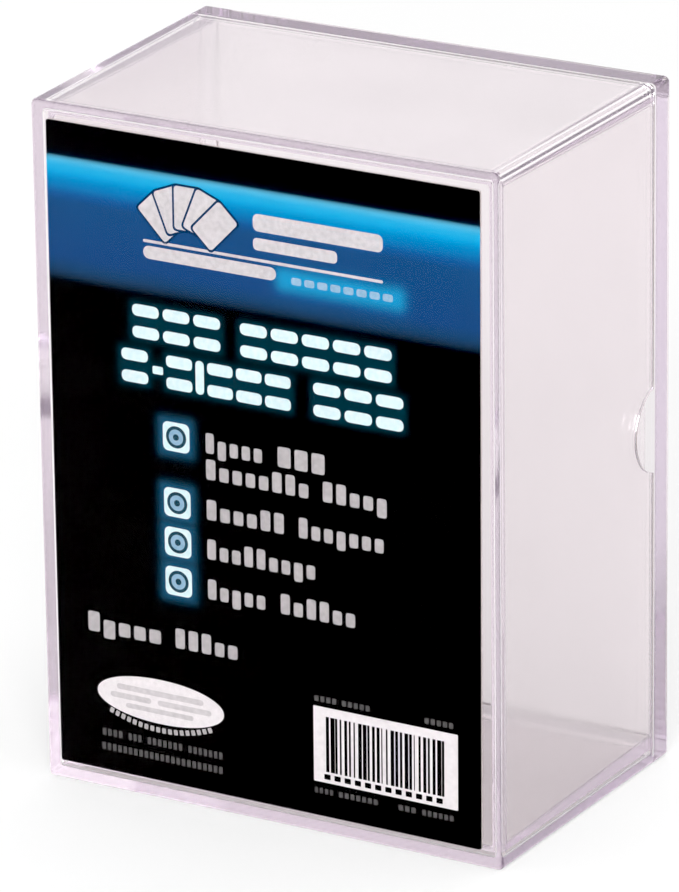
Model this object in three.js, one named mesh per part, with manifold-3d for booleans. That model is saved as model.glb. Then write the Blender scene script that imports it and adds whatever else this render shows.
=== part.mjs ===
// Clear two-piece storage box for trading cards, standing upright, in millimetres.
// The front half (outer_cover) and the back half (inner_tray) are open shells that nest inside each
// other and hold by friction; a printed card (label_insert) lies loose behind the front wall.
// +X is right, -Y is the front, +Z is up. The origin is at the middle of the base.

import * as THREE from 'three';
import { mergeVertices } from 'three/addons/utils/BufferGeometryUtils.js';
import Module from 'manifold-3d';

const wasm = await Module();
wasm.setup();

// Outside of the closed box, measured at its back.
const WIDTH = 71.8;
const DEPTH = 46;
const HEIGHT = 97;

// Moulding draft from the back to the front: what each side wall moves in, and what the top drops.
const SIDE_DRAFT = 0.8;
const TOP_DROP = 0.64;

// Cover: wall thickness, and the round thumb notches in the rear edge of its side walls.
const COVER_WALL = 1.3;
const NOTCH_RADIUS = 6.2;
const NOTCH_DEPTH = 4.7;

// Tray: walls that thin towards their open edge, the back plate, and the rim flush with the cover.
const TRAY_WALL_BASE = 1.6;
const TRAY_WALL_EDGE = 0.8;
const BACK_PLATE = 1.6;
const RIM_BAND = 4;
const SLIDING_GAP = 0.3;

// Printed card, which stands a little to the left of the middle and a little turned.
const CARD_WIDTH = 65.2;
const CARD_HEIGHT = 91.3;
const CARD_THICKNESS = 0.35;
const CARD_FRONT_GAP = 0.2;
const CARD_CENTRE_X = -0.9;
const CARD_CENTRE_Z = 47.8;
const CARD_TURN = THREE.MathUtils.degToRad(0.2);

// Small radii: outer corners, outer end edges, inner corners, card corners.
const OUTER_CORNER = 0.8;
const OUTER_EDGE = 0.5;
const INNER_CORNER = 0.6;
const CARD_CORNER = 0.4;
const CORNER_SEGMENTS = 5;
const EDGE_SEGMENTS = 3;
const NOTCH_SEGMENTS = 96;

// Places along the depth, from the front face to the back face.
const FRONT = -DEPTH / 2;
const BACK = DEPTH / 2;
const COVER_INNER_FRONT = FRONT + COVER_WALL;
const CARD_FRONT = COVER_INNER_FRONT + CARD_FRONT_GAP;
const TRAY_EDGE = CARD_FRONT + CARD_THICKNESS + SLIDING_GAP;
const RIM_SHOULDER = BACK - RIM_BAND;
const COVER_EDGE = RIM_SHOULDER - SLIDING_GAP;
const PLATE_INNER = BACK - BACK_PLATE;
const OVERRUN = 3;

// Colours of the two materials.
const CLEAR_TINT = 0xe6dcea;
const CARD_BLACK = 0x0b0d12;

// The box's cross-section at depth y, moved in on all four sides by the given inset.
function sectionAt(y, inset) {
  const towardsFront = (BACK - y) / DEPTH;
  return {
    y,
    half: WIDTH / 2 - SIDE_DRAFT * towardsFront - inset,
    bottom: inset,
    top: HEIGHT - TOP_DROP * towardsFront - inset,
  };
}

// A rectangle from low to high corner with round corners, drawn anticlockwise.
function roundedRectangle(left, bottom, right, top, radius) {
  const shape = new THREE.Shape();
  shape.absarc(right - radius, bottom + radius, radius, -Math.PI / 2, 0);
  shape.absarc(right - radius, top - radius, radius, 0, Math.PI / 2);
  shape.absarc(left + radius, top - radius, radius, Math.PI / 2, Math.PI);
  shape.absarc(left + radius, bottom + radius, radius, Math.PI, Math.PI * 1.5);
  shape.closePath();
  return shape;
}

// A closed block between two cross-sections, with round corners and rounded end edges.
function taperedBlock(rear, front, corner, edge) {
  const length = rear.y - front.y;
  const outline = roundedRectangle(-rear.half, rear.bottom, rear.half, rear.top, corner);
  const geometry = new THREE.ExtrudeGeometry(outline, {
    depth: length - 2 * edge,
    curveSegments: CORNER_SEGMENTS,
    bevelEnabled: edge > 0,
    bevelThickness: edge,
    bevelSize: edge,
    bevelOffset: -edge,
    bevelSegments: EDGE_SEGMENTS,
  });
  geometry.rotateX(Math.PI / 2);
  geometry.translate(0, rear.y - edge, 0);

  const position = geometry.attributes.position;
  const rearHeight = rear.top - rear.bottom;
  const frontHeight = front.top - front.bottom;
  for (let i = 0; i < position.count; i += 1) {
    const along = (rear.y - position.getY(i)) / length;
    const widthScale = THREE.MathUtils.lerp(1, front.half / rear.half, along);
    const upFraction = (position.getZ(i) - rear.bottom) / rearHeight;
    const bottom = THREE.MathUtils.lerp(rear.bottom, front.bottom, along);
    const height = THREE.MathUtils.lerp(rearHeight, frontHeight, along);
    position.setX(i, position.getX(i) * widthScale);
    position.setZ(i, bottom + upFraction * height);
  }
  return geometry;
}

// Turns a closed geometry into a solid that can be cut and joined.
function solidFrom(geometry) {
  geometry.deleteAttribute('normal');
  geometry.deleteAttribute('uv');
  const merged = mergeVertices(geometry, 1e-4);
  const vertProperties = new Float32Array(merged.attributes.position.array);
  const triVerts = new Uint32Array(merged.index.array);
  return new wasm.Manifold(new wasm.Mesh({ numProp: 3, vertProperties, triVerts }));
}

// Turns a solid back into a geometry.
function geometryFrom(solid) {
  const { vertProperties, triVerts } = solid.getMesh();
  const geometry = new THREE.BufferGeometry();
  geometry.setAttribute('position', new THREE.BufferAttribute(vertProperties, 3));
  geometry.setIndex(new THREE.BufferAttribute(triVerts, 1));
  geometry.computeVertexNormals();
  return geometry;
}

// A plain slab across the whole box between two depths, for trimming.
function slab(fromY, toY) {
  const geometry = new THREE.BoxGeometry(WIDTH * 2, toY - fromY, HEIGHT * 2);
  geometry.translate(0, (fromY + toY) / 2, HEIGHT / 2);
  return solidFrom(geometry);
}

// A rod across both side walls whose round face cuts the thumb notches.
function notchCutter() {
  const geometry = new THREE.CylinderGeometry(NOTCH_RADIUS, NOTCH_RADIUS, WIDTH * 2, NOTCH_SEGMENTS);
  geometry.rotateZ(Math.PI / 2);
  geometry.translate(0, COVER_EDGE - NOTCH_DEPTH + NOTCH_RADIUS, HEIGHT / 2);
  return solidFrom(geometry);
}

// Front half: a drafted shell, open at the back, with a thumb notch in each side wall.
function coverGeometry() {
  const rearY = COVER_EDGE + OVERRUN;
  const outside = solidFrom(
    taperedBlock(sectionAt(rearY, 0), sectionAt(FRONT, 0), OUTER_CORNER, OUTER_EDGE),
  );
  const hollow = solidFrom(
    taperedBlock(
      sectionAt(rearY + OVERRUN, COVER_WALL),
      sectionAt(COVER_INNER_FRONT, COVER_WALL),
      INNER_CORNER,
      OUTER_EDGE,
    ),
  );
  const trimmed = outside.intersect(slab(FRONT - OVERRUN, COVER_EDGE));
  return geometryFrom(trimmed.subtract(hollow).subtract(notchCutter()));
}

// Back half: back plate, flush rim and four nested walls that thin towards their open edge.
function trayGeometry() {
  const wallInset = COVER_WALL + SLIDING_GAP;
  const rim = solidFrom(
    taperedBlock(sectionAt(BACK, 0), sectionAt(RIM_SHOULDER - OVERRUN, 0), OUTER_CORNER, OUTER_EDGE),
  ).intersect(slab(RIM_SHOULDER, BACK + OVERRUN));
  const walls = solidFrom(
    taperedBlock(
      sectionAt(RIM_SHOULDER + OUTER_EDGE, wallInset),
      sectionAt(TRAY_EDGE - OVERRUN, wallInset),
      INNER_CORNER,
      0,
    ),
  ).intersect(slab(TRAY_EDGE, BACK));
  const hollow = solidFrom(
    taperedBlock(
      sectionAt(PLATE_INNER, wallInset + TRAY_WALL_BASE),
      sectionAt(TRAY_EDGE, wallInset + TRAY_WALL_EDGE),
      INNER_CORNER,
      0,
    ),
  );
  const mouth = solidFrom(
    taperedBlock(
      sectionAt(TRAY_EDGE, wallInset + TRAY_WALL_EDGE),
      sectionAt(TRAY_EDGE - OVERRUN, wallInset + TRAY_WALL_EDGE),
      INNER_CORNER,
      0,
    ),
  );
  return geometryFrom(rim.add(walls).subtract(hollow.add(mouth)));
}

// Printed card, drawn about its own centre so that it can be turned in place.
function cardGeometry() {
  const outline = roundedRectangle(
    -CARD_WIDTH / 2,
    -CARD_HEIGHT / 2,
    CARD_WIDTH / 2,
    CARD_HEIGHT / 2,
    CARD_CORNER,
  );
  const geometry = new THREE.ExtrudeGeometry(outline, {
    depth: CARD_THICKNESS,
    curveSegments: CORNER_SEGMENTS,
    bevelEnabled: false,
  });
  geometry.rotateX(Math.PI / 2);
  return geometry;
}

// The clear moulded plastic of both halves.
function clearPlastic() {
  return new THREE.MeshStandardMaterial({
    color: CLEAR_TINT,
    roughness: 0.06,
    metalness: 0,
    transparent: true,
    opacity: 0.3,
  });
}

// The dark printed face of the card.
function printedCard() {
  return new THREE.MeshStandardMaterial({ color: CARD_BLACK, roughness: 0.45, metalness: 0 });
}

function named(name, geometry, material) {
  const mesh = new THREE.Mesh(geometry, material);
  mesh.name = name;
  return mesh;
}

const cover = named('outer_cover', coverGeometry(), clearPlastic());
const tray = named('inner_tray', trayGeometry(), clearPlastic());
const card = named('label_insert', cardGeometry(), printedCard());
card.position.set(CARD_CENTRE_X, CARD_FRONT + CARD_THICKNESS, CARD_CENTRE_Z);
card.rotation.y = CARD_TURN;

const frontHalf = new THREE.Group();
frontHalf.add(cover, card);

const cardBox = new THREE.Group();
cardBox.add(frontHalf, tray);

export default cardBox;
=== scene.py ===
"""Clear two-piece storage box for trading cards, with a dark printed card behind its front wall.

The front half (cover) and the back half (tray) are thin moulded shells that nest in each other. Each
shell is one closed skin: a rounded rectangle carried along a stepped profile. The printed card is a
closed slab, and its print is a layer of thin closed tiles just in front of it.
"""

import math

import bpy
import numpy as np
from mathutils import Matrix, Vector


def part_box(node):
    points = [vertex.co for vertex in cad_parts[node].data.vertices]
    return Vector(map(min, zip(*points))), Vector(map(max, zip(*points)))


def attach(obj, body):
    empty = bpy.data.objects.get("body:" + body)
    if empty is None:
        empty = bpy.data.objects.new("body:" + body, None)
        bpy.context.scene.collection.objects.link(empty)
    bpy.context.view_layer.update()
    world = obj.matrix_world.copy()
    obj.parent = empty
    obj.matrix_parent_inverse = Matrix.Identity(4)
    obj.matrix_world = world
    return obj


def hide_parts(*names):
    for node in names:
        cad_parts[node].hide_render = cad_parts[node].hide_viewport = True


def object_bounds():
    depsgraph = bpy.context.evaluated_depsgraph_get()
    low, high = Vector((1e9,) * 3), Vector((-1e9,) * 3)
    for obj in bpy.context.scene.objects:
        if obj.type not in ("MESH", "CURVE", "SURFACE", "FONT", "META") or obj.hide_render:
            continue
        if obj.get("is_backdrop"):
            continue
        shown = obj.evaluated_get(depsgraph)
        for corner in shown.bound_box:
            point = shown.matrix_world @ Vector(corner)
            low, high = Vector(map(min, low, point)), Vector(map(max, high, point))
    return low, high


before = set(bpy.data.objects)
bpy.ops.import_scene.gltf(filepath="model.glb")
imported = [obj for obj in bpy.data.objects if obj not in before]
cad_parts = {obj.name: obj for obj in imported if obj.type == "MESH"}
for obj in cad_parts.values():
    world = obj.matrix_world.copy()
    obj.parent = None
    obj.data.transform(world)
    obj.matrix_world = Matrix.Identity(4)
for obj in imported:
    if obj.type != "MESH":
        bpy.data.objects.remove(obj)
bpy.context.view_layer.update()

MM = 0.001

# --- Sizes taken from the frame, in millimetres ---------------------------------------------------

box_low, box_high = (np.array(corner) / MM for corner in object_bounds())
cover_high = np.array(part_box("outer_cover")[1]) / MM
card_low, card_high = (np.array(corner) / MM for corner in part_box("label_insert"))

FRONT = box_low[1]
BACK = box_high[1]
DEPTH = BACK - FRONT
COVER_EDGE = cover_high[1]
CARD_FRONT = card_low[1]
CARD_BACK = card_high[1]
CARD_CENTRE_X = (card_low[0] + card_high[0]) / 2
CARD_CENTRE_Z = (card_low[2] + card_high[2]) / 2

# --- Sizes of the mouldings, in millimetres -------------------------------------------------------

WIDTH = 71.8
HEIGHT = 97.0
SIDE_DRAFT = 0.8
TOP_DROP = 0.64
COVER_WALL = 1.3
NOTCH_RADIUS = 6.2
NOTCH_DEPTH = 4.7
NOTCH_HEIGHT = HEIGHT / 2
NOTCH_REACH = 7.2
TRAY_WALL_BASE = 1.6
TRAY_WALL_EDGE = 0.8
BACK_PLATE = 1.6
RIM_BAND = 4.0
SLIDING_GAP = 0.3
OUTER_CORNER = 0.8
INNER_CORNER = 0.6
FACE_EDGE = 0.5
LIP_EDGE = 0.15
LIP_FLAT = 0.02
TRAY_FILLET = 0.6
SHARP_CORNER = 0.05
NOTCH_LEAD = 1.2

TRAY_INSET = COVER_WALL + SLIDING_GAP
RIM_SHOULDER = BACK - RIM_BAND
PLATE_INNER = BACK - BACK_PLATE
TRAY_EDGE = CARD_BACK + SLIDING_GAP
COVER_INNER_FRONT = FRONT + COVER_WALL

# --- The printed card, in millimetres: u runs from its left edge, v down from its top edge ---------

CARD_WIDTH = 65.2
CARD_HEIGHT = 91.3
CARD_TURN = math.radians(0.2)
CARD_CORNER = 0.4
CARD_GRID = 0.5
INK_STEP = 0.025
ROUNDEST = 0.49
INK_DEPTH = 0.8 * INK_STEP


# --- Camera ---------------------------------------------------------------------------------------

CAMERA_AIM = Vector((-8.13, 10.51, 41.44)) * MM
CAMERA_DISTANCE = 967.2 * MM
CAMERA_AZIMUTH = math.radians(30.029)
CAMERA_ELEVATION = math.radians(20.044)
CAMERA_ROLL = math.radians(-0.743)
CAMERA_LENS = 286.54


def set_camera():
    """A long lens that looks at the box's front and right side from a little above."""
    across = Vector((math.cos(CAMERA_AZIMUTH), math.sin(CAMERA_AZIMUTH), 0))
    back = Vector((
        math.sin(CAMERA_AZIMUTH) * math.cos(CAMERA_ELEVATION),
        -math.cos(CAMERA_AZIMUTH) * math.cos(CAMERA_ELEVATION),
        math.sin(CAMERA_ELEVATION),
    ))
    up = back.cross(across)
    roll_cos = math.cos(CAMERA_ROLL)
    roll_sin = math.sin(CAMERA_ROLL)
    right = across * roll_cos + up * roll_sin
    upright = up * roll_cos - across * roll_sin
    data = bpy.data.cameras.new("camera")
    data.lens = CAMERA_LENS
    data.sensor_width = 36
    data.clip_start = 0.05
    data.clip_end = 50
    camera = bpy.data.objects.new("camera", data)
    bpy.context.scene.collection.objects.link(camera)
    turn = Matrix((right, upright, back)).transposed().to_4x4()
    camera.matrix_world = Matrix.Translation(CAMERA_AIM + back * CAMERA_DISTANCE) @ turn
    bpy.context.scene.camera = camera


# --- Mesh making ----------------------------------------------------------------------------------


def signed_volume(points, faces):
    """Six times the volume inside triangles fanned from each face's first corner."""
    total = 0.0
    for k in range(1, faces.shape[1] - 1):
        a, b, c = points[faces[:, 0]], points[faces[:, k]], points[faces[:, k + 1]]
        total += np.einsum("ij,ij->", a, np.cross(b, c))
    return total


def make_piece(name, points, face_sets, materials, face_materials=None):
    """A smooth-shaded closed mesh object from points in millimetres and arrays of quads and triangles.
    The faces are turned round if the volume they enclose comes out negative."""
    inside = sum(signed_volume(points, faces) for faces in face_sets)
    if inside < 0:
        face_sets = [faces[:, ::-1] for faces in face_sets]
    listed = [row for faces in face_sets for row in faces.tolist()]
    mesh = bpy.data.meshes.new(name)
    mesh.from_pydata((points * MM).tolist(), [], listed)
    for material in materials:
        mesh.materials.append(material)
    if face_materials is not None:
        mesh.polygons.foreach_set("material_index", np.concatenate(face_materials).astype(np.int32))
    mesh.polygons.foreach_set("use_smooth", np.ones(len(listed), bool))
    mesh.update()
    piece = bpy.data.objects.new(name, mesh)
    bpy.context.scene.collection.objects.link(piece)
    return piece


def shade_flat(piece):
    piece.data.polygons.foreach_set("use_smooth", np.zeros(len(piece.data.polygons), bool))


def store_field(piece, name, values):
    """Stores one number for every point of a piece."""
    attribute = piece.data.attributes.new(name, "FLOAT", "POINT")
    attribute.data.foreach_set("value", values.astype(np.float32))


def skin_faces(rings, samples):
    """Quads between neighbouring closed rings, and a fan of triangles from each end ring to its pole.
    Ring points come first, ring by ring, then the first pole and the last pole."""
    ring, sample = np.meshgrid(np.arange(rings - 1), np.arange(samples), indexing="ij")
    after = (sample + 1) % samples
    quads = np.stack(
        [
            ring * samples + sample,
            ring * samples + after,
            (ring + 1) * samples + after,
            (ring + 1) * samples + sample,
        ],
        axis=-1,
    ).reshape(-1, 4)
    around = np.arange(samples)
    onward = (around + 1) % samples
    first_pole = rings * samples
    last = (rings - 1) * samples
    first_fan = np.stack([np.full(samples, first_pole), onward, around], axis=-1)
    last_fan = np.stack([np.full(samples, first_pole + 1), last + around, last + onward], axis=-1)
    return quads, np.concatenate([first_fan, last_fan])


# --- The two clear shells -------------------------------------------------------------------------


def side_offsets():
    """Heights above and below the notch centre for points on a side wall, as (offset, stretch).
    Inside the notch's reach a point keeps its distance from the centre, spaced evenly round the notch
    circle. Beyond it, stretch runs from 0 to 1 towards the corner."""
    mouth = math.asin(math.sqrt(NOTCH_RADIUS**2 - (NOTCH_RADIUS - NOTCH_DEPTH) ** 2) / NOTCH_RADIUS)
    arc = NOTCH_RADIUS * np.sin(np.linspace(0, mouth, 45))
    margin = arc[-1] + np.array([0.06, 0.2, 0.5])
    near = np.concatenate([arc, margin, [NOTCH_REACH]])
    far = np.array([0.06, 0.16, 0.3, 0.45, 0.6, 0.74, 0.86, 0.94, 0.98, 0.995, 1.0])
    offset = np.concatenate([near, np.full(len(far), NOTCH_REACH)])
    stretch = np.concatenate([np.zeros(len(near)), far])
    offset = np.concatenate([-offset[:0:-1], offset])
    stretch = np.concatenate([-stretch[:0:-1], stretch])
    return offset, stretch


def loop_places():
    """Points round a rounded rectangle, anticlockwise from the lower left corner. Each has a place across
    (-1 to 1), a height (offset and stretch, as in side_offsets) and the angle of its corner radius."""
    across_side = np.sin(np.linspace(-0.5, 0.5, 25) * math.pi)
    level = np.ones(len(across_side))
    offset, stretch = side_offsets()
    upright = np.ones(len(offset))
    arc = np.linspace(0, 0.5 * math.pi, 8)[1:-1]
    corner = np.ones(len(arc))
    across = [across_side, corner, upright, corner, -across_side, -corner, -upright, -corner]
    offsets = [-level, -corner, offset / NOTCH_REACH, corner, level, corner, -offset / NOTCH_REACH, -corner]
    stretches = [-level, -corner, stretch, corner, level, corner, -stretch, -corner]
    angles = [
        -0.5 * math.pi * level,
        arc - 0.5 * math.pi,
        0 * upright,
        arc,
        0.5 * math.pi * level,
        arc + 0.5 * math.pi,
        math.pi * upright,
        arc + math.pi,
    ]
    return (
        np.concatenate(across),
        np.concatenate(offsets) * NOTCH_REACH,
        np.concatenate(stretches),
        np.concatenate(angles),
    )


def rim_drop(height):
    """How far the cover's rear edge falls back towards the front at a height: the thumb notch, a circle
    of the notch radius whose lowest point is the notch depth in front of the edge."""
    reach = NOTCH_RADIUS**2 - (height - NOTCH_HEIGHT) ** 2
    return np.maximum(np.sqrt(np.maximum(reach, 0)) - (NOTCH_RADIUS - NOTCH_DEPTH), 0)


def section_rings(stations):
    """Rings of a shell. A station is (inset, corner radius, depth, share of the notch it follows), and
    its ring is the box's drafted section at that depth, moved in by the inset. The draft needs the depth
    and the notch needs the height, so both are worked out twice, the second time from the first."""
    across, offset, stretch, angle = (row[None, :] for row in loop_places())
    inset, radius, own_depth, follow = (column[:, None] for column in np.array(stations, float).T)
    depth = own_depth
    for _ in range(2):
        towards_front = (BACK - depth) / DEPTH
        half = WIDTH / 2 - SIDE_DRAFT * towards_front - inset
        low = inset
        high = HEIGHT - TOP_DROP * towards_front - inset
        x = across * (half - radius) + radius * np.cos(angle)
        above = high - radius - NOTCH_HEIGHT - NOTCH_REACH
        below = NOTCH_HEIGHT - NOTCH_REACH - low - radius
        z = NOTCH_HEIGHT + offset + np.where(stretch > 0, stretch * above, stretch * below)
        z = z + radius * np.sin(angle)
        on_side = np.abs(np.sin(angle)) < 0.01
        depth = own_depth - follow * rim_drop(z) * on_side
    return np.stack([x, depth, z], axis=-1)


def face_rings(edge_ring):
    """A flat end face inside its edge ring: the ring shrunk towards its middle in steps, and the middle
    point itself."""
    centre = np.array([0.0, edge_ring[0, 1], HEIGHT / 2])
    shrink = np.concatenate([[0.996], np.linspace(0.97, 0.05, 18)])[:, None, None]
    return centre + shrink * (edge_ring - centre), centre


def bend(inset_from, inset_to, depth_from, depth_to, radius_from, radius_to, follow, steps, starts_flat):
    """Stations round a quarter circle or ellipse from one wall to the next. starts_flat says that the
    first wall is an end face, so the inset moves first."""
    turn = np.linspace(0, 0.5 * math.pi, steps)
    quick = np.sin(turn)
    slow = 1 - np.cos(turn)
    inset_share, depth_share = (quick, slow) if starts_flat else (slow, quick)
    return [
        (
            inset_from + (inset_to - inset_from) * i,
            radius_from + (radius_to - radius_from) * i,
            depth_from + (depth_to - depth_from) * d,
            follow,
        )
        for i, d in zip(inset_share, depth_share)
    ]


def wall(inset_from, inset_to, depth_from, depth_to, radius, steps, follow_from=None):
    """Stations along a straight wall, close together at its two ends. Past follow_from the stations take
    up a growing share of the notch, so that they gather behind it."""
    share = (1 - np.cos(np.linspace(0, math.pi, steps + 2)[1:-1])) / 2
    share = np.concatenate([[0.002], share, [0.998]])
    stations = []
    for s in share:
        depth = depth_from + (depth_to - depth_from) * s
        follow = 0.0
        if follow_from is not None:
            follow = max(0.0, (depth - follow_from) / (COVER_EDGE - LIP_EDGE - follow_from))
        stations.append((inset_from + (inset_to - inset_from) * s, radius, depth, min(follow, 1.0)))
    return stations


CLEAR = 0.0
SATIN = 1.0


def shell(name, parts, material):
    """A closed shell: an end face, the walls and bends of its parts in turn, and the opposite end face.
    A part is (stations, finish), and the finish of every point is stored as the attribute satin."""
    stations = [station for row, _ in parts for station in row]
    finish = np.concatenate([np.full(len(row), value) for row, value in parts])
    rings = section_rings(stations)
    first, first_pole = face_rings(rings[0])
    last, last_pole = face_rings(rings[-1])
    finish = np.concatenate([np.full(len(first), CLEAR), finish, np.full(len(last), CLEAR)])
    rings = np.concatenate([first[::-1], rings, last])
    points = np.concatenate([rings.reshape(-1, 3), first_pole[None], last_pole[None]])
    piece = make_piece(name, points, skin_faces(rings.shape[0], rings.shape[1]), [material])
    store_field(piece, "satin", np.append(np.repeat(finish, rings.shape[1]), [CLEAR, CLEAR]))
    return piece


def cover_shell(material):
    """Front half: a five-sided drafted shell open at the back, with a thumb notch in each side wall. Its
    outer walls are satin, and its front, edges and inside are clear."""
    edge_corner = OUTER_CORNER - FACE_EDGE
    gather = COVER_EDGE - NOTCH_DEPTH - NOTCH_LEAD
    lip = COVER_EDGE - LIP_EDGE
    inner_front = COVER_INNER_FRONT + FACE_EDGE
    outer_bend = bend(FACE_EDGE, 0, FRONT, FRONT + FACE_EDGE, edge_corner, OUTER_CORNER, 0, 7, True)
    outer_lip = bend(0, LIP_EDGE, lip, COVER_EDGE, OUTER_CORNER, OUTER_CORNER - LIP_EDGE, 1, 4, False)
    inner_lip = bend(
        COVER_WALL - LIP_EDGE, COVER_WALL, COVER_EDGE, lip, INNER_CORNER + LIP_EDGE, INNER_CORNER, 1, 4, True
    )
    inner_bend = bend(
        COVER_WALL, COVER_WALL + FACE_EDGE, inner_front, COVER_INNER_FRONT,
        INNER_CORNER, INNER_CORNER - FACE_EDGE, 0, 7, False,
    )
    parts = (
        (outer_bend, CLEAR),
        (wall(0, 0, FRONT + FACE_EDGE, lip, OUTER_CORNER, 22, gather), SATIN),
        (outer_lip, CLEAR),
        (inner_lip, CLEAR),
        (wall(COVER_WALL, COVER_WALL, lip, inner_front, INNER_CORNER, 22, gather), CLEAR),
        (inner_bend, CLEAR),
    )
    return shell("clear_cover", parts, material)


def tray_shell(material):
    """Back half: back plate, a rim flush with the cover, and four walls that thin towards their edge. Its
    walls are satin on the inside, and its plate, rim and edges are clear."""
    edge_corner = OUTER_CORNER - FACE_EDGE
    neck = RIM_SHOULDER - LIP_EDGE
    rim_front = RIM_SHOULDER + LIP_EDGE
    mouth_radius = TRAY_WALL_EDGE / 2
    mouth = TRAY_EDGE + mouth_radius
    inner_edge = TRAY_INSET + TRAY_WALL_EDGE
    inner_base = TRAY_INSET + TRAY_WALL_BASE
    root = PLATE_INNER - TRAY_FILLET
    corner = INNER_CORNER
    lip_start = inner_edge - mouth_radius + LIP_FLAT
    plate_bend = bend(FACE_EDGE, 0, BACK, BACK - FACE_EDGE, edge_corner, OUTER_CORNER, 0, 7, True)
    rim_bend = bend(0, LIP_EDGE, rim_front, RIM_SHOULDER, OUTER_CORNER, OUTER_CORNER - LIP_EDGE, 0, 4, False)
    shoulder_bend = bend(
        TRAY_INSET - LIP_EDGE, TRAY_INSET, RIM_SHOULDER, neck, corner + LIP_EDGE, corner, 0, 4, True
    )
    outer_lip = bend(TRAY_INSET, TRAY_INSET + mouth_radius, mouth, TRAY_EDGE, corner, corner, 0, 5, False)
    inner_lip = bend(lip_start, inner_edge, TRAY_EDGE, mouth, corner, corner, 0, 5, True)
    fillet = bend(inner_base, inner_base + TRAY_FILLET, root, PLATE_INNER, corner, SHARP_CORNER, 0, 7, False)
    parts = (
        (plate_bend, CLEAR),
        (wall(0, 0, BACK - FACE_EDGE, rim_front, OUTER_CORNER, 5), CLEAR),
        (rim_bend, CLEAR),
        (shoulder_bend, CLEAR),
        (wall(TRAY_INSET, TRAY_INSET, neck, mouth, corner, 20), CLEAR),
        (outer_lip, CLEAR),
        (inner_lip, CLEAR),
        (wall(inner_edge, inner_base, mouth, root, corner, 20), SATIN),
        (fillet, CLEAR),
    )
    return shell("clear_tray", parts, material)


# --- The printed card -----------------------------------------------------------------------------


def on_card(u, v, lift):
    """Points of the box for places u, v on the card, lifted towards the front by lift. The card is
    turned a little about its own middle."""
    right = np.asarray(u) - CARD_WIDTH / 2
    up = CARD_HEIGHT / 2 - np.asarray(v)
    x = CARD_CENTRE_X + right * math.cos(CARD_TURN) + up * math.sin(CARD_TURN)
    z = CARD_CENTRE_Z - right * math.sin(CARD_TURN) + up * math.cos(CARD_TURN)
    y = CARD_FRONT - np.broadcast_to(lift, x.shape)
    return np.stack([x, y, z], axis=-1)


def grid_lines(length, spacing):
    """Places from 0 to length: three close steps round each corner, and even steps between."""
    corner = CARD_CORNER * np.array([0, 0.3, 0.62, 1.0])
    count = int(round((length - 2 * CARD_CORNER) / spacing))
    middle = np.linspace(CARD_CORNER, length - CARD_CORNER, count + 1)[1:-1]
    return np.concatenate([corner, middle, length - corner[::-1]])


def glow_at(u, v, boxes, reach):
    """Soft light round each box (left, top, width, height): 1 inside it, and a bell curve of the
    distance outside it."""
    total = np.zeros(u.shape)
    for left, top, width, height in boxes:
        out_u = np.maximum(np.abs(u - left - width / 2) - width / 2, 0)
        out_v = np.maximum(np.abs(v - top - height / 2) - height / 2, 0)
        total = np.maximum(total, np.exp(-(out_u**2 + out_v**2) / reach**2))
    return total


def card_slab(glows, materials):
    """The card: a grid over its front with round corners, a strip round its thickness and a flat back.
    It carries the height down the card and the glows of the print as attributes."""
    across = grid_lines(CARD_WIDTH, CARD_GRID)
    down = grid_lines(CARD_HEIGHT, CARD_GRID)
    u, v = np.meshgrid(across, down, indexing="ij")
    corner_u = np.clip(u, CARD_CORNER, CARD_WIDTH - CARD_CORNER)
    corner_v = np.clip(v, CARD_CORNER, CARD_HEIGHT - CARD_CORNER)
    out = np.hypot(u - corner_u, v - corner_v)
    pull = np.where(out > CARD_CORNER, CARD_CORNER / np.maximum(out, 1e-9), 1.0)
    u = corner_u + (u - corner_u) * pull
    v = corner_v + (v - corner_v) * pull
    rows, columns = u.shape
    index = np.arange(rows * columns).reshape(rows, columns)
    quads = np.stack([index[:-1, :-1], index[1:, :-1], index[1:, 1:], index[:-1, 1:]], axis=-1).reshape(-1, 4)
    border = np.concatenate([index[:-1, 0], index[-1, :-1], index[:0:-1, -1], index[0, :0:-1]])
    front = on_card(u, v, 0.0).reshape(-1, 3)
    back = front[border].copy()
    back[:, 1] = CARD_BACK
    behind = len(front) + np.arange(len(border))
    strip = np.stack([np.roll(border, -1), np.roll(behind, -1), behind, border], axis=-1)
    middle = on_card(np.array([CARD_WIDTH / 2]), np.array([CARD_HEIGHT / 2]), CARD_FRONT - CARD_BACK)
    pole = np.full(len(border), len(front) + len(border))
    fan = np.stack([pole, behind, np.roll(behind, -1)], axis=-1)
    points = np.concatenate([front, back, middle])
    face_sets = [quads[:, ::-1], strip, fan]
    face_materials = [np.zeros(len(quads)), np.ones(len(strip)), np.ones(len(fan))]
    piece = make_piece("printed_card", points, face_sets, materials, face_materials)
    shade_flat(piece)
    every_u = np.concatenate([u.ravel(), u.ravel()[border], [CARD_WIDTH / 2]])
    every_v = np.concatenate([v.ravel(), v.ravel()[border], [CARD_HEIGHT / 2]])
    fields = {"down_card": every_v / CARD_HEIGHT}
    for name, (boxes, reach) in glows.items():
        fields[name] = glow_at(every_u, every_v, boxes, reach)
    for name, values in fields.items():
        store_field(piece, name, values)
    return piece


def turned(u, v, turn, pivot):
    """Places on the card turned clockwise about a pivot."""
    du = u - pivot[0]
    dv = v - pivot[1]
    return (
        pivot[0] + du * np.cos(turn) - dv * np.sin(turn),
        pivot[1] + du * np.sin(turn) + dv * np.cos(turn),
    )


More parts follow.
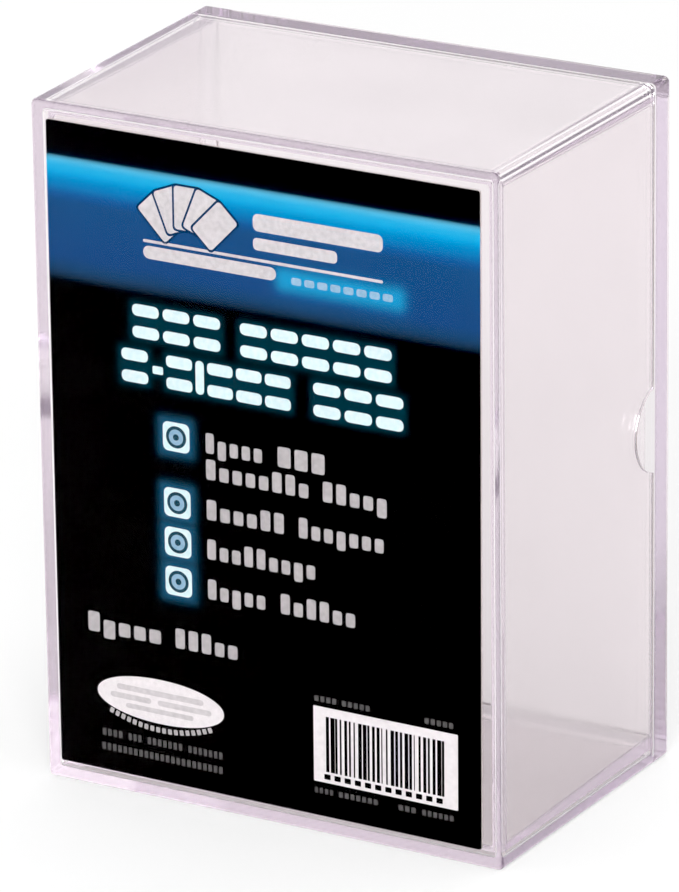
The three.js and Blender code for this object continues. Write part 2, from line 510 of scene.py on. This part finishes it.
def ink_tiles(name, tiles, layer, material, arc_points=4, turns=0.0, pivot=(0.0, 0.0)):
    """Thin closed tiles of ink in front of the card. A tile is (left, top, width, height, corner across,
    corner down): a rectangle with elliptical corners, as a front ring and a back ring of points, each
    with a fan to its middle. Higher layers lie further forward, and layer may be one for each tile. Each
    tile is turned about the pivot by its turn, clockwise."""
    tiles = np.array(tiles, float)
    left, top, width, height, round_u, round_v = (column[:, None] for column in tiles.T)
    round_u = np.minimum(round_u, ROUNDEST * width)
    round_v = np.minimum(round_v, ROUNDEST * height)
    turn = np.broadcast_to(turns, len(tiles))[:, None]
    quarter = np.linspace(0, 0.5 * math.pi, arc_points)
    angle = np.concatenate([quarter + k * 0.5 * math.pi for k in range(4)])[None]
    sign_u = np.repeat([1, -1, -1, 1], arc_points)[None]
    sign_v = np.repeat([1, 1, -1, -1], arc_points)[None]
    u = left + width / 2 + sign_u * (width / 2 - round_u) + round_u * np.cos(angle)
    v = top + height / 2 + sign_v * (height / 2 - round_v) + round_v * np.sin(angle)
    front_lift = INK_STEP * np.broadcast_to(layer, len(tiles))[:, None]
    back_lift = front_lift - INK_DEPTH
    samples = angle.shape[1]
    u, v = turned(u, v, turn, pivot)
    middle_u, middle_v = turned(left + width / 2, top + height / 2, turn, pivot)
    points = np.concatenate(
        [
            on_card(u, v, front_lift),
            on_card(u, v, back_lift),
            on_card(middle_u, middle_v, front_lift),
            on_card(middle_u, middle_v, back_lift),
        ],
        axis=1,
    )
    quads, triangles = skin_faces(2, samples)
    step = (np.arange(len(tiles)) * points.shape[1])[:, None, None]
    face_sets = [(quads[None] + step).reshape(-1, 4), (triangles[None] + step).reshape(-1, 3)]
    piece = make_piece(name, points.reshape(-1, 3), face_sets, [material])
    shade_flat(piece)
    return piece


# --- Layout of the print --------------------------------------------------------------------------

BULLET_SIZE = 4.1
BULLET_LEFT = 17.2
BULLET_TOPS = (39.3, 48.6, 54.2, 59.8)

HEADING_HEIGHT = 4.7
HEADING_TOPS = (23.6, 30.0)
HEADING_GAP = 1.4
HEADING_THIN = 3.0

TEXT_HEIGHT = 1.95
TEXT_RISE = 0.9
TEXT_HANG = 0.7
TEXT_GAP = 0.6
TEXT_TOP = 1.0
TEXT_CORNER = 0.35

DASH_PITCH = 0.85
DASH_GAP = 0.3


def row_of_tiles(left, top, height, widths, gap, corner):
    """Tiles of given widths side by side, as tile rows for ink_tiles."""
    tiles = []
    for width in widths:
        tiles.append((left, top, width, height, corner, corner))
        left += width + gap
    return tiles


def heading_blocks():
    """Two bold rows of plain blocks across the upper half of the card, in groups."""
    height = HEADING_HEIGHT
    upper, lower = HEADING_TOPS
    return (
        row_of_tiles(12.8, upper, height, [4.1] * 3, 0.6, 0.7)
        + row_of_tiles(29.3, upper, height, [4.1] * 5, 0.58, 0.7)
        + row_of_tiles(11.0, lower, height, [4.1], 0.5, 0.7)
        + row_of_tiles(15.8, lower + 1.85, 1.1, [1.6], 0.4, 0.2)
        + row_of_tiles(17.9, lower, height, [4.0, 1.3, 3.9, 3.9, 3.9], 0.5, 0.6)
        + row_of_tiles(40.3, lower, height, [4.1] * 3, 0.6, 0.7)
    )


def heading_tiles():
    """Each heading block as a stack of two plain bars, and the narrow ones whole."""
    tiles = []
    for left, top, width, height, corner, _ in heading_blocks():
        if width < HEADING_THIN:
            tiles.append((left, top, width, height, corner, corner))
            continue
        bar = (height - HEADING_GAP) / 2
        tiles.append((left, top, width, bar, corner, corner))
        tiles.append((left, top + bar + HEADING_GAP, width, bar, corner, corner))
    return tiles


def word_tiles(left, right, top, letters, seed):
    """A word-like run of small plain blocks between left and right. Their heights step between low,
    tall and hanging in an order that follows from the seed."""
    pitch = (right - left) / letters
    tiles = []
    for k in range(letters):
        kind = (seed * 7 + k * 5) % 9
        rise = TEXT_RISE if k == 0 or kind in (2, 6) else 0.0
        hang = TEXT_HANG if kind == 8 and k else 0.0
        height = TEXT_HEIGHT + rise + hang
        place = (left + k * pitch, top + TEXT_TOP - rise)
        tiles.append((*place, pitch - TEXT_GAP, height, TEXT_CORNER, TEXT_CORNER))
    return tiles


# Each run: left, right, top, number of blocks.
TEXT_RUNS = (
    (23.8, 33.0, 39.8, 5),
    (34.8, 42.5, 39.8, 3),
    (23.8, 40.0, 43.5, 8),
    (41.6, 51.8, 43.5, 5),
    (23.8, 36.2, 49.2, 6),
    (37.9, 51.3, 49.2, 7),
    (23.8, 40.9, 54.8, 9),
    (23.8, 33.2, 60.5, 5),
    (35.0, 46.9, 60.5, 6),
    (4.9, 16.9, 68.5, 5),
    (18.6, 28.8, 68.5, 5),
)


def text_tiles():
    """The list of plain text-like runs beside the bullets, and one run at the lower left."""
    tiles = []
    for seed, (left, right, top, letters) in enumerate(TEXT_RUNS):
        tiles += word_tiles(left, right, top, letters, seed + 3)
    return tiles


# Each row: left, right, top, height.
SMALL_PRINT = (
    (6.8, 10.2, 85.3, 1.0),
    (10.9, 13.2, 85.3, 1.0),
    (13.9, 19.6, 85.3, 1.0),
    (20.3, 25.9, 85.3, 1.0),
    (6.7, 25.9, 87.4, 1.0),
    (40.0, 43.6, 74.1, 0.8),
    (44.2, 48.7, 74.1, 0.8),
    (56.7, 61.3, 74.1, 0.8),
    (39.9, 43.0, 87.3, 0.8),
    (43.6, 49.8, 87.3, 0.8),
    (52.7, 55.6, 87.3, 0.8),
    (56.3, 61.3, 87.3, 0.8),
)


def small_print_tiles():
    """Rows of tiny dashes, cut to about the width of small print."""
    tiles = []
    for left, right, top, height in SMALL_PRINT:
        count = max(2, int(round((right - left) / DASH_PITCH)))
        pitch = (right - left) / count
        tiles += [(left + k * pitch, top, pitch - DASH_GAP, height, 0.12, 0.12) for k in range(count)]
    return tiles


def bullet_squares():
    """The four rounded squares, one for each bullet."""
    return [(BULLET_LEFT, top, BULLET_SIZE, BULLET_SIZE, 0.8, 0.8) for top in BULLET_TOPS]


def bullet_discs(diameter):
    """A disc in the middle of each bullet."""
    inset = (BULLET_SIZE - diameter) / 2
    half = diameter / 2
    return [(BULLET_LEFT + inset, top + inset, diameter, diameter, half, half) for top in BULLET_TOPS]


WHITE_PANEL = (39.8, 75.6, 21.9, 10.8)
STRIPE_COUNT = 26
STRIPES_LEFT = 41.7
STRIPES_RIGHT = 60.0


def stripe_tiles():
    """Plain upright stripes on the white panel. Their widths follow a slow beat of two sines and stand
    for nothing that could be read."""
    pitch = (STRIPES_RIGHT - STRIPES_LEFT) / STRIPE_COUNT
    k = np.arange(STRIPE_COUNT)
    widths = pitch * (0.54 + 0.22 * np.sin(k * 1.9) + 0.16 * np.sin(k * 0.83 + 1))
    return [(STRIPES_LEFT + n * pitch, 76.9, w, 7.9, 0.05, 0.05) for n, w in zip(k, widths)]


def panel_dashes():
    """A row of small plain dashes under the stripes."""
    return [(41.4 + 1.55 * k, 85.15, 0.95, 0.75, 0.1, 0.1) for k in range(12)]


def oval_bars():
    """Plain grey bars on the white oval, in three rows."""
    return [
        (9.2, 78.3, 13.6, 0.8, 0.4, 0.4),
        (8.2, 79.6, 6.4, 0.8, 0.4, 0.4),
        (15.6, 79.6, 8.4, 0.8, 0.4, 0.4),
        (10.6, 80.9, 10.6, 0.7, 0.35, 0.35),
    ]


# --- Materials ------------------------------------------------------------------------------------


def from_hex(code):
    """Scene-linear colour for a six-digit sRGB code."""
    srgb = np.array([int(code[k:k + 2], 16) for k in (0, 2, 4)]) / 255
    linear = np.where(srgb <= 0.04045, srgb / 12.92, ((srgb + 0.055) / 1.055) ** 2.4)
    return (*linear, 1.0)


def new_material(name):
    """A material with a Principled shader, its node tree and that shader."""
    material = bpy.data.materials.new(name)
    material.use_nodes = True
    tree = material.node_tree
    return material, tree, tree.nodes["Principled BSDF"]


def noise(tree, scale, detail, roughness=0.5):
    """Noise on Object coordinates: scale is in repeats per metre."""
    place = tree.nodes.new("ShaderNodeTexCoord")
    texture = tree.nodes.new("ShaderNodeTexNoise")
    texture.inputs["Scale"].default_value = scale
    texture.inputs["Detail"].default_value = detail
    texture.inputs["Roughness"].default_value = roughness
    tree.links.new(place.outputs["Object"], texture.inputs["Vector"])
    return texture.outputs["Fac"]


def spread(tree, value, low, high):
    """The value's middle range mapped to run from low to high."""
    node = tree.nodes.new("ShaderNodeMapRange")
    node.inputs["From Min"].default_value = 0.3
    node.inputs["From Max"].default_value = 0.7
    node.inputs["To Min"].default_value = low
    node.inputs["To Max"].default_value = high
    tree.links.new(value, node.inputs["Value"])
    return node.outputs["Result"]


def bump(tree, height, distance, strength):
    """Small relief from a height value: distance is its size in metres."""
    node = tree.nodes.new("ShaderNodeBump")
    node.inputs["Strength"].default_value = strength
    node.inputs["Distance"].default_value = distance
    tree.links.new(height, node.inputs["Height"])
    return node.outputs["Normal"]


def attribute_value(tree, name):
    """The number stored under a name for every point of the piece."""
    node = tree.nodes.new("ShaderNodeAttribute")
    node.attribute_name = name
    return node.outputs["Fac"]


def added(tree, first, second):
    """The sum of two values."""
    node = tree.nodes.new("ShaderNodeMath")
    node.operation = "ADD"
    tree.links.new(first, node.inputs[0])
    tree.links.new(second, node.inputs[1])
    return node.outputs["Value"]


# Polystyrene: tint of each pass through a wall, refraction, roughness of the satin finish, and the
# violet cast of long light paths, whose density is per metre.
PLASTIC_TINT = (0.956, 0.926, 0.936, 1)
PLASTIC_IOR = 1.59
CLEAR_ROUGHNESS = (0.02, 0.05)
SATIN_ROUGHNESS = 0.07
CAST_COLOUR = (0.45, 0.2, 0.52, 1)
CAST_DENSITY = 5.5


def clear_plastic():
    """Clear moulded polystyrene, faintly wavy from the mould, with a violet cast that shows where light
    runs a long way through it. The roughness wanders a little and is higher where the finish is satin."""
    material, tree, shader = new_material("clear_plastic")
    shader.inputs["Base Color"].default_value = PLASTIC_TINT
    shader.inputs["Transmission Weight"].default_value = 1.0
    shader.inputs["IOR"].default_value = PLASTIC_IOR
    shader.inputs["Specular Tint"].default_value = (0.0, 0.0, 0.0, 1)
    satin = tree.nodes.new("ShaderNodeMapRange")
    satin.inputs["To Max"].default_value = SATIN_ROUGHNESS
    tree.links.new(attribute_value(tree, "satin"), satin.inputs["Value"])
    wander = spread(tree, noise(tree, 90, 3), *CLEAR_ROUGHNESS)
    tree.links.new(added(tree, wander, satin.outputs["Result"]), shader.inputs["Roughness"])
    tree.links.new(bump(tree, noise(tree, 35, 1), 0.00012, 0.35), shader.inputs["Normal"])
    absorb = tree.nodes.new("ShaderNodeVolumeAbsorption")
    absorb.inputs["Color"].default_value = CAST_COLOUR
    absorb.inputs["Density"].default_value = CAST_DENSITY
    tree.links.new(absorb.outputs["Volume"], tree.nodes["Material Output"].inputs["Volume"])
    return material


# The print: its gloss, the colours of its glows, and the card's colour at places down it in millimetres.
PRINT_GLOSS = 0.02
HEADING_GLOW = "053340"
BULLET_GLOW = "1e5673"
ACCENT_GLOW = "219bcc"
PRINT_RAMP = (
    (0.0, "040404"),
    (4.2, "040406"),
    (4.75, "021e38"),
    (5.1, "5dbada"),
    (6.0, "2db3e1"),
    (7.0, "14a7dc"),
    (8.0, "0a8bc5"),
    (9.0, "1778b5"),
    (10.0, "1c5f99"),
    (11.0, "1e5284"),
    (18.8, "1e4c81"),
    (20.4, "1e486f"),
    (21.3, "1e3953"),
    (22.0, "040a14"),
    (22.6, "030303"),
)


def mixed(tree, factor, first, colour):
    """A colour socket: first, turning to the given colour as the factor rises."""
    node = tree.nodes.new("ShaderNodeMix")
    node.data_type = "RGBA"
    tree.links.new(factor, node.inputs["Factor"])
    tree.links.new(first, node.inputs["A"])
    node.inputs["B"].default_value = colour
    return node.outputs["Result"]


def printed_face():
    """The card's printed front: black with a blue band that fades down from a bright upper edge, and the
    soft light round the brighter print, on smooth coated board."""
    material, tree, shader = new_material("printed_face")
    ramp = tree.nodes.new("ShaderNodeValToRGB")
    stops = ramp.color_ramp.elements
    stops[0].position = PRINT_RAMP[0][0] / CARD_HEIGHT
    stops[0].color = from_hex(PRINT_RAMP[0][1])
    stops[1].position = PRINT_RAMP[-1][0] / CARD_HEIGHT
    stops[1].color = from_hex(PRINT_RAMP[-1][1])
    for v, code in PRINT_RAMP[1:-1]:
        stop = stops.new(v / CARD_HEIGHT)
        stop.color = from_hex(code)
    tree.links.new(attribute_value(tree, "down_card"), ramp.inputs["Fac"])
    lit = mixed(tree, attribute_value(tree, "heading_glow"), ramp.outputs["Color"], from_hex(HEADING_GLOW))
    lit = mixed(tree, attribute_value(tree, "bullet_glow"), lit, from_hex(BULLET_GLOW))
    lit = mixed(tree, attribute_value(tree, "accent_glow"), lit, from_hex(ACCENT_GLOW))
    tree.links.new(lit, shader.inputs["Base Color"])
    shader.inputs["Specular IOR Level"].default_value = PRINT_GLOSS
    tree.links.new(spread(tree, noise(tree, 2200, 2), 0.4, 0.5), shader.inputs["Roughness"])
    tree.links.new(bump(tree, noise(tree, 3500, 2), 0.000004, 0.5), shader.inputs["Normal"])
    return material


def card_board():
    """Bare edge and back of the card: warm grey board with fine fibre."""
    material, tree, shader = new_material("card_board")
    fibre = spread(tree, noise(tree, 1800, 4, 0.65), 0.0, 1.0)
    base = tree.nodes.new("ShaderNodeRGB")
    base.outputs[0].default_value = from_hex("dcd6d2")
    tree.links.new(mixed(tree, fibre, base.outputs[0], from_hex("ece7e3")), shader.inputs["Base Color"])
    shader.inputs["Roughness"].default_value = 0.85
    tree.links.new(bump(tree, fibre, 0.00001, 0.6), shader.inputs["Normal"])
    return material


def ink(name, code, darker):
    """Coated printing ink: an even colour with a faint mottle and a satin gloss."""
    material, tree, shader = new_material(name)
    base = tree.nodes.new("ShaderNodeRGB")
    base.outputs[0].default_value = from_hex(code)
    mottle = spread(tree, noise(tree, 1400, 2), 0.0, 1.0)
    tree.links.new(mixed(tree, mottle, base.outputs[0], from_hex(darker)), shader.inputs["Base Color"])
    shader.inputs["Specular IOR Level"].default_value = PRINT_GLOSS
    tree.links.new(spread(tree, noise(tree, 2600, 2), 0.4, 0.5), shader.inputs["Roughness"])
    return material


# --- Room: floor and light ------------------------------------------------------------------------


# The floor, in millimetres, and its light-table finish.
FLOOR_RADIUS = 4000
FLOOR_TOP = -0.02
FLOOR_BOTTOM = -60
FLOOR_PALE = (0.49, 0.49, 0.49, 1)
FLOOR_DARKER = (0.47, 0.47, 0.47, 1)
FLOOR_LIT = 0.38


def studio_floor():
    """A wide flat round floor, lit a little from below: rings about the middle whose radius grows with the
    square of their number, closed underneath by a cone."""
    rings, samples = 24, 96
    ring = (np.arange(1, rings + 1) / rings)[:, None]
    angle = np.linspace(0, 2 * math.pi, samples, endpoint=False)[None]
    radius = FLOOR_RADIUS * ring**2
    level = np.full((rings, samples), FLOOR_TOP)
    points = np.stack([radius * np.cos(angle), radius * np.sin(angle), level], axis=-1)
    quads, fans = skin_faces(rings, samples)
    points = np.concatenate([points.reshape(-1, 3), [[0, 0, FLOOR_TOP]], [[0, 0, FLOOR_BOTTOM]]])
    material, tree, shader = new_material("pale_floor")
    base = tree.nodes.new("ShaderNodeRGB")
    base.outputs[0].default_value = FLOOR_PALE
    mottle = spread(tree, noise(tree, 8, 2), 0.0, 1.0)
    tree.links.new(mixed(tree, mottle, base.outputs[0], FLOOR_DARKER), shader.inputs["Base Color"])
    shader.inputs["Emission Color"].default_value = (1, 1, 1, 1)
    shader.inputs["Emission Strength"].default_value = FLOOR_LIT
    shader.inputs["Roughness"].default_value = 0.9
    shader.inputs["Specular IOR Level"].default_value = 0.1
    floor = make_piece("floor", points, [quads, fans], [material])
    floor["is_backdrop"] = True


def soft_panel(name, place, aim, size, power):
    """A square softbox at a place, facing a point, both in metres."""
    data = bpy.data.lights.new(name, "AREA")
    data.size = size
    data.energy = power
    light = bpy.data.objects.new(name, data)
    bpy.context.scene.collection.objects.link(light)
    light.location = place
    light.rotation_mode = "QUATERNION"
    light.rotation_quaternion = (Vector(aim) - Vector(place)).to_track_quat("-Z", "Y")


# The surroundings: where their brighter side lies, and their strength from the dim to the bright side.
BRIGHT_SIDE = (0.5, 0.78, 0.38)
DIM_LEVEL = 0.86
BRIGHT_LEVEL = 1.3

# The soft panel: its place and aim in metres, side in metres and power in watts.
PANEL_PLACE = (0.6, -1.35, 0.6)
PANEL_AIM = (0, 0, 0.05)
PANEL_SIDE = 1.0
PANEL_POWER = 34

BLACK_LEVEL = 0.012
LIGHT_BOUNCES = 96


def studio_light():
    """White surroundings, brighter behind the box to the right, and one soft panel in front of it."""
    scene = bpy.context.scene
    world = bpy.data.worlds.new("studio")
    scene.world = world
    world.use_nodes = True
    tree = world.node_tree
    background = tree.nodes["Background"]
    background.inputs["Color"].default_value = (1, 1, 1, 1)
    towards = tree.nodes.new("ShaderNodeVectorMath")
    towards.operation = "DOT_PRODUCT"
    towards.inputs[1].default_value = BRIGHT_SIDE
    tree.links.new(tree.nodes.new("ShaderNodeTexCoord").outputs["Generated"], towards.inputs[0])
    level = tree.nodes.new("ShaderNodeMapRange")
    level.inputs["From Min"].default_value = -0.2
    level.inputs["From Max"].default_value = 1.0
    level.inputs["To Min"].default_value = DIM_LEVEL
    level.inputs["To Max"].default_value = BRIGHT_LEVEL
    tree.links.new(towards.outputs["Value"], level.inputs["Value"])
    tree.links.new(level.outputs["Result"], background.inputs["Strength"])
    soft_panel("key_panel", PANEL_PLACE, PANEL_AIM, PANEL_SIDE, PANEL_POWER)
    scene.view_settings.view_transform = "Standard"
    scene.view_settings.use_curve_mapping = True
    levels = scene.view_settings.curve_mapping
    levels.black_level = (BLACK_LEVEL, BLACK_LEVEL, BLACK_LEVEL)
    levels.update()
    scene.cycles.max_bounces = LIGHT_BOUNCES
    scene.cycles.transmission_bounces = LIGHT_BOUNCES
    scene.cycles.glossy_bounces = LIGHT_BOUNCES
    scene.cycles.diffuse_bounces = 4
    scene.cycles.use_denoising = True


# --- Putting it together --------------------------------------------------------------------------


ACCENT_STRIP = (36.0, 16.2, 17.0, 0.8)
OVAL = (6.15, 76.6, 19.8, 6.4, 9.9, 3.2)

# A row of tiny dashes on a circle under the oval: the lowest dash, the circle's middle, and the turns.
ARC_TILE = (15.75, 83.55, 0.6, 0.75, 0.12, 0.12)
ARC_PIVOT = (16.05, 63.4)
ARC_TURNS = np.radians(np.linspace(-22.0, 22.0, 18))

FAN_PIVOT = (21.6, 15.2)
FAN_ANGLES = (-44, -22, 0, 22, 44)
FAN_CARD = (4.6, 6.6)
FAN_RADIUS = 6.0


def fan_tiles(margin):
    """A blank card standing above the fan's pivot, inside the given margin, once for each fan angle."""
    width, height = (side - 2 * margin for side in FAN_CARD)
    corner = 0.6 - 0.5 * margin
    left = FAN_PIVOT[0] - width / 2
    top = FAN_PIVOT[1] - FAN_RADIUS - height / 2
    return [(left, top, width, height, corner, corner)] * len(FAN_ANGLES)


def emblem_bars():
    """Two plain bars beside the fan, a rule under both and a broad bar below it."""
    return [
        (31.5, 8.2, 19.4, 2.4, 0.8, 0.8),
        (31.5, 11.5, 12.6, 1.7, 0.6, 0.6),
        (14.7, 14.35, 36.2, 0.4, 0.2, 0.2),
        (14.7, 15.2, 20.2, 1.8, 0.9, 0.9),
    ]


def print_layers():
    """Every printed layer of the card, with its tiles, its layer and its ink."""
    white = ink("white_ink", "f6f6f6", "ececec")
    ice = ink("ice_ink", "eaffff", "d6f6f8")
    grey = ink("light_grey_ink", "dcdcdc", "cccccc")
    dim = ink("dim_grey_ink", "6a6a6a", "5a5a5a")
    dark = ink("black_ink", "0a0a0a", "060606")
    soft = ink("soft_grey_ink", "c6c6c6", "b6b6b6")
    blue = ink("pale_blue_ink", "a3c7dd", "8db9d2")
    teal = ink("teal_ink", "275262", "1e4452")
    navy = ink("navy_ink", "12406a", "0f3659")
    turns = np.radians(FAN_ANGLES)
    under = 1 + 0.8 * np.arange(len(FAN_ANGLES))
    return [
        ink_tiles("print_fan_edges", fan_tiles(0.0), under, navy, 4, turns, FAN_PIVOT),
        ink_tiles("print_fan_cards", fan_tiles(0.3), under + 0.4, grey, 4, turns, FAN_PIVOT),
        ink_tiles("print_emblem_bars", emblem_bars(), 1, grey, 6),
        ink_tiles("print_glow_dashes", row_of_tiles(37.2, 16.1, 1.0, [1.5] * 8, 0.45, 0.3), 1, blue),
        ink_tiles("print_heading", heading_tiles(), 1, ice),
        ink_tiles("print_text_runs", text_tiles(), 1, soft),
        ink_tiles("print_small_runs", small_print_tiles(), 1, dim),
        ink_tiles("print_bullets", bullet_squares(), 1, ice, 6),
        ink_tiles("print_bullet_rings", bullet_discs(3.1), 2, teal, 7),
        ink_tiles("print_bullet_centres", bullet_discs(2.2), 3, blue, 7),
        ink_tiles("print_bullet_dots", bullet_discs(0.9), 4, teal, 5),
        ink_tiles("print_oval", [OVAL], 1, white, 14),
        ink_tiles("print_oval_bars", oval_bars(), 2, grey),
        ink_tiles("print_oval_row", [ARC_TILE] * len(ARC_TURNS), 1, soft, 4, ARC_TURNS, ARC_PIVOT),
        ink_tiles("print_panel", [(*WHITE_PANEL, 0.1, 0.1)], 1, white),
        ink_tiles("print_stripes", stripe_tiles(), 2, dark),
        ink_tiles("print_panel_dashes", panel_dashes(), 2, dark),
    ]


def glow_boxes():
    """Where the print glows and how far, in millimetres: round the heading rows, round the bullets and
    under the emblem."""
    headings = [block[:4] for block in heading_blocks()]
    bullets = [square[:4] for square in bullet_squares()]
    return {
        "heading_glow": (headings, 0.55),
        "bullet_glow": (bullets, 0.85),
        "accent_glow": ([ACCENT_STRIP], 1.3),
    }


def assemble():
    """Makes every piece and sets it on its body."""
    plastic = clear_plastic()
    cover = cover_shell(plastic)
    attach(cover, "cover")
    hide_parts("outer_cover")
    tray = tray_shell(plastic)
    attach(tray, "tray")
    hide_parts("inner_tray")
    card = card_slab(glow_boxes(), [printed_face(), card_board()])
    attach(card, "cover")
    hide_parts("label_insert")
    for layer in print_layers():
        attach(layer, "cover")


set_camera()
studio_light()
studio_floor()
assemble()
